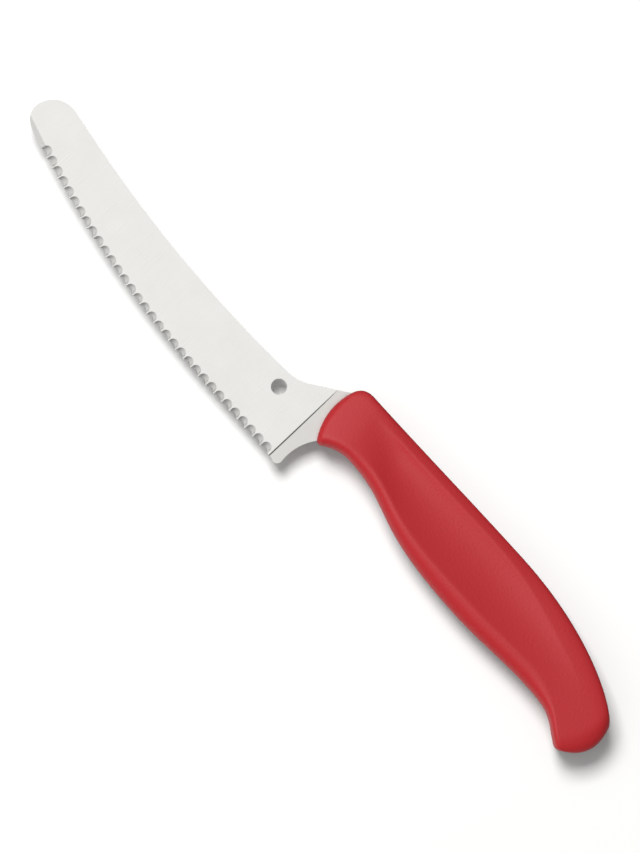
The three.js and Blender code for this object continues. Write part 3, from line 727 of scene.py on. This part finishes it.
def rounding(distance, run, height):
    """Loss of height of a rounding at a distance from the face that it starts on."""
    inside = max(0.0, 1 - distance / run)
    return height * (1 - math.sqrt(1 - inside ** 2))


def smooth_step(share):
    """Eases from 0 to 1."""
    share = min(1.0, max(0.0, share))
    return share ** 2 * (3 - 2 * share)


def rounding_points(width, height, bevel, steps):
    """A rounding from a wall to a crest, as a quadratic curve: distances from the wall, with losses."""
    points = []
    for i in range(steps + 1):
        share = i / steps
        loss = height * (1 - share) ** 2 + 2 * width * math.tan(bevel) * share * (1 - share)
        points.append((width * share ** 2, loss))
    return points


def mix(low, high, share):
    """A value between two others."""
    return low + (high - low) * share


def eased(distance, start, end):
    """Eases from 0 to 1 between two distances."""
    return smooth_step((distance - start) / (end - start))


def handle_section(size, width, from_front, from_butt):
    """One section of the handle's upper half: distances from the back, with heights."""
    thinning = size.neck_thinning * max(0.0, 1 - from_front / size.neck_thinning_length) ** 2
    half = (size.thickness / 2 - thinning - rounding(from_front, size.front_round, size.front_round)
            - rounding(from_butt, size.butt_round, size.butt_round_height))
    back_flare = eased(from_front, size.back_flare_start, size.back_flare_end)
    back_round = mix(size.back_round, size.back_round_butt, back_flare)
    back_height = min(mix(size.back_round_height, size.back_round_butt_height, back_flare),
                      half - size.edge_wall)
    belly_flare = eased(from_front, size.belly_flare_start, size.belly_flare_end)
    belly_taper = eased(from_butt, size.belly_taper_end, size.belly_taper_start)
    belly_round = min(mix(size.belly_round_neck, size.belly_round, belly_flare),
                      mix(size.belly_round_butt, size.belly_round, belly_taper))
    belly_height = min(size.belly_round_height, half - size.edge_wall)
    scooped = (smooth_step((from_front - size.scoop_front) / size.scoop_ease)
               * smooth_step((from_butt - size.scoop_butt) / size.scoop_butt_ease))
    scoop_start = back_round + size.land
    scoop_width = width - scoop_start - belly_round - size.land
    section = []
    back_bevel = size.back_bevel * scooped * (1 - back_flare)
    for distance, loss in rounding_points(back_round, back_height, back_bevel, BACK_STEPS):
        section.append((distance, half - loss))
    for i in range(SCOOP_STEPS + 1):
        share = i / SCOOP_STEPS
        fall = share * (1 - share) * (2 - share) / SCOOP_PEAK
        section.append((scoop_start + scoop_width * share, half - size.scoop_depth * scooped * fall))
    belly_curve = rounding_points(belly_round, belly_height, size.belly_bevel * scooped, BELLY_STEPS)
    for distance, loss in reversed(belly_curve):
        section.append((width - distance, half - loss))
    return section


def handle_ring(mesh, size, start, end, share):
    """Ring of vertices round the handle at a share of its length, upper half first."""
    across = end - start
    width = across.length
    across.normalize()
    along = Vector((-across.y, across.x))
    from_front = share * size.handle_length
    from_butt = size.handle_length - from_front
    bow = (size.butt_bow * max(0.0, 1 - from_butt / size.butt_bow_length) ** 2
           - size.front_bow * max(0.0, 1 - from_front / size.front_bow_length) ** 2)
    upper, lower = [], []
    for distance, height in handle_section(size, width, from_front, from_butt):
        middle = 2 * distance / width - 1
        spot = start + across * distance + along * bow * (1 - middle ** 2)
        upper.append(mesh.verts.new((*spot, height)))
        lower.append(mesh.verts.new((*spot, -height)))
    return upper + lower[::-1]


def loop_edges(mesh, ring):
    """Joins a ring of vertices with edges."""
    return [mesh.edges.new((ring[i - 1], ring[i])) for i in range(len(ring))]


def handle_body(size):
    """The handle without its pocket: rings bridged from the front face to the butt face, and closed."""
    shares = [(1 - math.cos(i / STATIONS * math.pi)) / 2 for i in range(STATIONS + 1)]
    backs = share_points(back_line(size), shares)
    bellies = share_points(belly_line(size), shares)
    mesh = bmesh.new()
    rings = [loop_edges(mesh, handle_ring(mesh, size, start, end, share))
             for start, end, share in zip(backs, bellies, shares)]
    for ring, following in zip(rings, rings[1:]):
        bmesh.ops.bridge_loops(mesh, edges=ring + following)
    # Each end is closed between the upper and the lower half of its ring
    for ring in (rings[0], rings[-1]):
        half = len(ring) // 2
        bmesh.ops.bridge_loops(mesh, edges=ring[1:half] + ring[half + 1:])
    bmesh.ops.recalc_face_normals(mesh, faces=mesh.faces)
    return mesh


class KNIFE_OT_handle(bpy.types.Operator):
    """Build the handle, moulded round the tang"""

    bl_idname = "knife.handle"
    bl_label = "Build handle"

    def execute(self, context):
        size = in_millimetres(context.scene.knife_handle)
        blade = in_millimetres(context.scene.knife_blade)
        polypropylene = moulded_polypropylene(context.scene.knife_handle)
        plastic = new_object("handle_draft", handle_body(size), polypropylene)
        blank = draw_blank(blade, blade_points(blade)).plate(blade.stock)
        pocket = new_object("pocket", blank, polypropylene)
        for centre in lock_holes(blade):
            carve(pocket, rod(centre, blade.lock_hole_diameter), polypropylene)
        # The pocket is the steel blank, grown by the gap on every side
        clearance = pocket.modifiers.new("clearance", "DISPLACE")
        clearance.strength = size.mould_gap
        clearance.mid_level = 0
        apply_modifiers(pocket)
        cutter = bmesh.new()
        cutter.from_mesh(pocket.data)
        bpy.data.objects.remove(pocket)
        carve(plastic, cutter, polypropylene)
        finish_piece(plastic, "moulded_handle", "handle", PLASTIC_CREASE)
        return {"FINISHED"}


# Materials


def add_node(tree, kind, inputs, **settings):
    """Adds a node with its settings, and gives each named input a value or a link from another node."""
    node = tree.nodes.new(kind)
    for name, value in settings.items():
        setattr(node, name, value)
    for name, value in inputs.items():
        if isinstance(value, bpy.types.NodeSocket):
            tree.links.new(value, node.inputs[name])
        else:
            node.inputs[name].default_value = value
    return node


def new_material(name):
    """A new material with an empty node tree."""
    material = bpy.data.materials.new(name)
    material.use_nodes = True
    material.node_tree.nodes.clear()
    return material


def brushed_metal(name, tint, line, roughness):
    """Bare steel with faint clouds in its tone, and brush lines across it, spaced widely enough to show."""
    material = new_material(name)
    tree = material.node_tree
    place = add_node(tree, "ShaderNodeTexCoord", {}).outputs["Object"]
    stretch = (1 / (line * MM), 1 / (LINE_LENGTH * MM), 1 / (LINE_LENGTH * MM))
    across = add_node(tree, "ShaderNodeMapping", {"Vector": place, "Scale": stretch}).outputs[0]
    lines = add_node(tree, "ShaderNodeTexNoise",
                     {"Vector": across, "Scale": 1.0, "Detail": NOISE_DETAIL}).outputs["Fac"]
    cloud = add_node(tree, "ShaderNodeTexNoise",
                     {"Vector": place, "Scale": 1 / (CLOUD * MM), "Detail": NOISE_DETAIL})
    dull = [CLOUD_TONE * share for share in tint]
    tone = add_node(tree, "ShaderNodeMix",
                    {"Factor": cloud.outputs["Fac"], "A": (*dull, 1), "B": (*tint, 1)}, data_type="RGBA")
    smooth, rough = roughness
    dullness = add_node(tree, "ShaderNodeMapRange", {"Value": lines, "To Min": smooth, "To Max": rough})
    bump = add_node(tree, "ShaderNodeBump",
                    {"Height": lines, "Strength": LINE_STRENGTH, "Distance": LINE_DEPTH * line * MM})
    shader = add_node(tree, "ShaderNodeBsdfPrincipled",
                      {"Base Color": tone.outputs["Result"], "Metallic": 1.0,
                       "Roughness": dullness.outputs[0], "Normal": bump.outputs[0]})
    add_node(tree, "ShaderNodeOutputMaterial", {"Surface": shader.outputs[0]})
    return material


def satin_steel(settings):
    """Stainless steel, flat ground and satin finished: pale and evenly bright, with lines across it."""
    return brushed_metal("satin_stainless_steel", settings.satin, line=0.25, roughness=(0.24, 0.34))


def stamped_steel(settings):
    """Stainless steel as it was stamped: duller than the ground faces."""
    return brushed_metal("stamped_stainless_steel", settings.stamped, line=0.6, roughness=(0.36, 0.44))


def wheel_ground_steel(settings):
    """Stainless steel straight from the grinding wheel: darker and coarser, so the tooth gaps stand out."""
    return brushed_metal("wheel_ground_stainless_steel", settings.wheel_ground, line=0.15,
                         roughness=(0.38, 0.48))


def painted_corner_shade_steel(settings):
    """Stainless steel in the corner where the grind stops, with painted shade: its dark tone stands in for
    the shade in that corner.
    """
    return brushed_metal("grind_corner_stainless_steel", settings.painted_corner_shade, line=0.15,
                         roughness=(0.5, 0.6))


def moulded_polypropylene(settings):
    """Polypropylene, injection moulded in a finely etched mould: an even, dull red with a fine grain."""
    material = new_material("moulded_polypropylene")
    tree = material.node_tree
    place = add_node(tree, "ShaderNodeTexCoord", {}).outputs["Object"]
    grain = add_node(tree, "ShaderNodeTexNoise",
                     {"Vector": place, "Scale": 1 / (GRAIN * MM), "Detail": NOISE_DETAIL})
    bump = add_node(tree, "ShaderNodeBump",
                    {"Height": grain.outputs["Fac"], "Strength": GRAIN_STRENGTH,
                     "Distance": GRAIN_DEPTH * MM})
    shader = add_node(tree, "ShaderNodeBsdfPrincipled",
                      {"Base Color": (*settings.plastic, 1), "Roughness": settings.roughness,
                       "Specular IOR Level": settings.specular, "Normal": bump.outputs[0]})
    add_node(tree, "ShaderNodeOutputMaterial", {"Surface": shader.outputs[0]})
    return material


def studio_floor(settings):
    """Matt paper sweep: white to the camera and in reflections, and it keeps the knife's shadow."""
    material = new_material("paper_floor")
    tree = material.node_tree
    path = add_node(tree, "ShaderNodeLightPath", {})
    seen = path.outputs["Is Camera Ray"]
    for kind in ("Is Glossy Ray", "Is Transmission Ray"):
        either = add_node(tree, "ShaderNodeMath", {0: seen, 1: path.outputs[kind]}, operation="MAXIMUM")
        seen = either.outputs[0]
    lift = add_node(tree, "ShaderNodeMath", {0: seen, 1: settings.floor_glow}, operation="MULTIPLY")
    # The floor is darker for light that bounces, so that it doesn't wash out the handle's rims from below
    shade = add_node(tree, "ShaderNodeMix",
                     {"Factor": seen, "A": (*settings.floor_bounce, 1), "B": (*settings.floor, 1)},
                     data_type="RGBA")
    matt = add_node(tree, "ShaderNodeBsdfDiffuse", {"Color": shade.outputs["Result"]})
    glow = add_node(tree, "ShaderNodeEmission", {"Strength": lift.outputs[0]})
    both = add_node(tree, "ShaderNodeAddShader", {0: matt.outputs[0], 1: glow.outputs[0]})
    add_node(tree, "ShaderNodeOutputMaterial", {"Surface": both.outputs[0]})
    return material


# Stage


def add_lamp(settings, name, lit):
    """A square soft lamp that lights one object, with the settings that start with its name."""
    light = bpy.data.lights.new(name, "AREA")
    light.size = getattr(settings, f"{name}_side")
    light.energy = getattr(settings, f"{name}_power")
    lamp = bpy.data.objects.new(name, light)
    bpy.context.scene.collection.objects.link(lamp)
    outward = Vector(getattr(settings, f"{name}_towards")).normalized()
    lamp.location = outward * settings.lamp_distance
    lamp.rotation_euler = outward.to_track_quat("Z", "Y").to_euler()
    receivers = bpy.data.collections.new(name)
    receivers.objects.link(lit)
    lamp.light_linking.receiver_collection = receivers


def add_world(settings):
    """Sky of a studio: a large bright diffuser overhead, and dimmer walls."""
    world = bpy.data.worlds.new("studio")
    bpy.context.scene.world = world
    world.use_nodes = True
    tree = world.node_tree
    tree.nodes.clear()
    outward = add_node(tree, "ShaderNodeTexCoord", {}).outputs["Generated"]
    middle = Vector(settings.diffuser_towards).normalized()
    facing = add_node(tree, "ShaderNodeVectorMath", {0: outward, 1: middle}, operation="DOT_PRODUCT")
    brightness = add_node(tree, "ShaderNodeMapRange",
                          {"Value": facing.outputs["Value"],
                           "From Min": settings.diffuser_edge, "From Max": settings.diffuser_full,
                           "To Min": settings.wall_level, "To Max": settings.diffuser_level},
                          interpolation_type="SMOOTHSTEP")
    sky = add_node(tree, "ShaderNodeBackground", {"Strength": brightness.outputs[0]})
    add_node(tree, "ShaderNodeOutputWorld", {"Surface": sky.outputs[0]})


def add_camera(settings):
    """A camera straight above the knife, turned so that the knife lies aslant in the picture."""
    camera = bpy.data.cameras.new("camera")
    camera.lens = camera.sensor_width * settings.camera_distance / settings.view_height
    viewer = bpy.data.objects.new("camera", camera)
    bpy.context.scene.collection.objects.link(viewer)
    low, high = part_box("blade")
    height = (low.z + high.z) / 2 + settings.camera_distance
    viewer.location = (settings.view_centre_x, settings.view_centre_y, height)
    viewer.rotation_euler = (0, 0, settings.view_turn)
    bpy.context.scene.camera = viewer


class KNIFE_OT_stage(bpy.types.Operator):
    """Set up the floor, the soft light and the camera"""

    bl_idname = "knife.stage"
    bl_label = "Set up stage"

    def execute(self, context):
        settings = context.scene.knife_stage
        mesh = bmesh.new()
        bmesh.ops.create_grid(mesh, x_segments=1, y_segments=1, size=settings.floor_size / 2)
        floor = new_object("floor", mesh, studio_floor(settings))
        add_world(settings)
        add_lamp(settings, "key", bpy.data.objects["moulded_handle"])
        add_lamp(settings, "top", floor)
        add_camera(settings)
        context.scene.view_settings.view_transform = "Standard"
        return {"FINISHED"}


class KNIFE_PT_panel(bpy.types.Panel):
    """Lists the knife's builders and their sizes"""

    bl_label = "Serrated knife"
    bl_idname = "KNIFE_PT_panel"
    bl_space_type = "VIEW_3D"
    bl_region_type = "UI"
    bl_category = "Knife"

    def draw(self, context):
        for operator, group in STEPS:
            column = self.layout.column()
            column.operator(operator)
            settings = getattr(context.scene, group)
            for name in settings.__annotations__:
                column.prop(settings, name)


STEPS = (("knife.blade", "knife_blade"), ("knife.handle", "knife_handle"), ("knife.stage", "knife_stage"))
GROUPS = {"knife_blade": KnifeBladeSettings, "knife_handle": KnifeHandleSettings,
          "knife_stage": KnifeStageSettings}
CLASSES = (*GROUPS.values(), KNIFE_OT_blade, KNIFE_OT_handle, KNIFE_OT_stage, KNIFE_PT_panel)


def register():
    """Registers the classes and puts the settings on the scene."""
    for cls in CLASSES:
        bpy.utils.register_class(cls)
    for name, group in GROUPS.items():
        setattr(bpy.types.Scene, name, PointerProperty(type=group))


def unregister():
    """Removes the settings and the classes."""
    for name in GROUPS:
        delattr(bpy.types.Scene, name)
    for cls in reversed(CLASSES):
        bpy.utils.unregister_class(cls)


def main():
    """Builds the knife and its stage."""
    register()
    bpy.ops.knife.blade()
    bpy.ops.knife.handle()
    bpy.ops.knife.stage()


if __name__ == "__main__":
    main()
